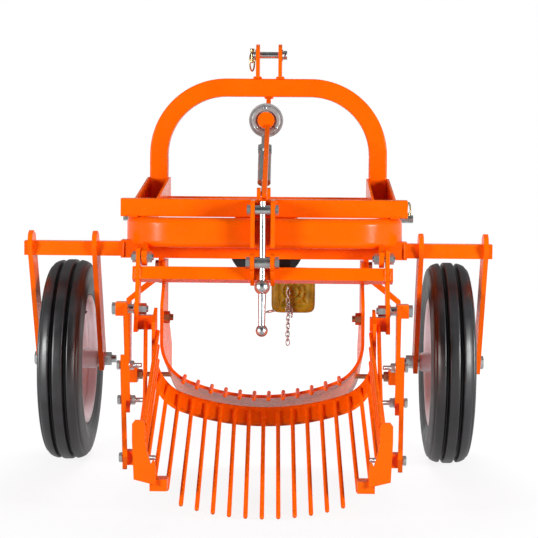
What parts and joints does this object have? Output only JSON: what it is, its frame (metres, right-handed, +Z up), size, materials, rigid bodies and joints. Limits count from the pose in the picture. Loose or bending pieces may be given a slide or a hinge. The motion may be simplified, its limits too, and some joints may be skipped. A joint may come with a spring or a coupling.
{
  "type": "single-row potato digger",
  "caption": "Tractor-mounted shaking-sieve potato digger with U share, rod sieve, gauge wheels and screw jack.",
  "frame": {"origin": "centre of the footprint, on the ground", "axes": "+X to the machine's right, +Y forward to the tractor, +Z up"},
  "size_m": [1.1726, 1.0206, 1.103],
  "materials": {
    "orange_paint": "glossy orange enamel on steel",
    "rim_paint": "satin off-white enamel",
    "tyre_rubber": "black ribbed tyre rubber",
    "zinc": "bright zinc plating",
    "grey_casting": "grey painted casting",
    "bare_steel": "oiled machined steel",
    "black_plastic": "black moulded guard",
    "yellow_plastic": "yellow moulded guard"
  },
  "bodies": {
    "frame": {"axle_bolt_left": "zinc", "axle_bolt_right": "zinc", "cast_ring": "grey_casting", "cross_tube": "orange_paint", "drive_case": "orange_paint", "fork_left": "orange_paint", "fork_right": "orange_paint", "front_rail": "orange_paint", "guard_strap": "black_plastic", "hoop": "orange_paint", "input_shield": "black_plastic", "jack_top_lugs": "orange_paint", "lower_hitch_pins": "zinc", "mast": "orange_paint", "mast_brace": "orange_paint", "mast_seats": "orange_paint", "pivot_bolts": "zinc", "pivot_lugs": "orange_paint", "ring_strut": "grey_casting", "shaft_guard": "yellow_plastic", "share": "orange_paint", "share_bolts": "zinc", "share_fingers": "orange_paint", "share_hangers": "orange_paint", "toolbar": "orange_paint", "top_link_ears": "orange_paint", "tube_plugs": "black_plastic"},
    "wheel_left": {"tyre_left": "tyre_rubber", "rim_left": "rim_paint"},
    "wheel_right": {"tyre_right": "tyre_rubber", "rim_right": "rim_paint"},
    "input": {"input_shaft": "bare_steel"},
    "sieve": {"rocker": "orange_paint", "jack_eye_lugs": "orange_paint", "side_blocks": "orange_paint", "sieve_band": "orange_paint", "sieve_tines": "orange_paint", "upper_arms": "orange_paint", "lower_arms": "orange_paint", "arm_bolts": "zinc", "rear_brackets": "orange_paint", "side_rods": "orange_paint"},
    "jack": {"jack_top_barrel": "zinc", "jack_screw": "zinc"},
    "jack_eye": {"jack_eye_barrel": "zinc"}
  },
  "joints": [
    {"name": "wheel_left_spin", "type": "hinge", "parent": "frame", "child": "wheel_left", "pos_m": [-0.48875, 0.18025, 0.26], "axis": [1, 0, 0], "continuous": true},
    {"name": "wheel_right_spin", "type": "hinge", "parent": "frame", "child": "wheel_right", "pos_m": [0.48875, 0.18025, 0.26], "axis": [1, 0, 0], "continuous": true},
    {"name": "input_spin", "type": "hinge", "parent": "frame", "child": "input", "pos_m": [0.01525, 0.28025, 0.562], "axis": [0, 1, 0], "continuous": true},
    {"name": "sieve_tilt", "type": "hinge", "parent": "frame", "child": "sieve", "pos_m": [0.01525, -0.04975, 0.544], "axis": [1, 0, 0], "range_deg": [-8, 4]},
    {"name": "jack_swing", "type": "hinge", "parent": "frame", "child": "jack", "pos_m": [0.01525, -0.09175, 0.663], "axis": [1, 0, 0], "range_deg": [-1, 1]},
    {"name": "jack_eye_swing", "type": "hinge", "parent": "sieve", "child": "jack_eye", "pos_m": [0.01525, -0.10175, 0.5355], "axis": [1, 0, 0], "range_deg": [-5, 9]}
  ],
  "couplings": [
    {"joint": "jack_swing", "follows": "sieve_tilt", "ratio": 0.08},
    {"joint": "jack_eye_swing", "follows": "sieve_tilt", "ratio": -0.92}
  ]
}
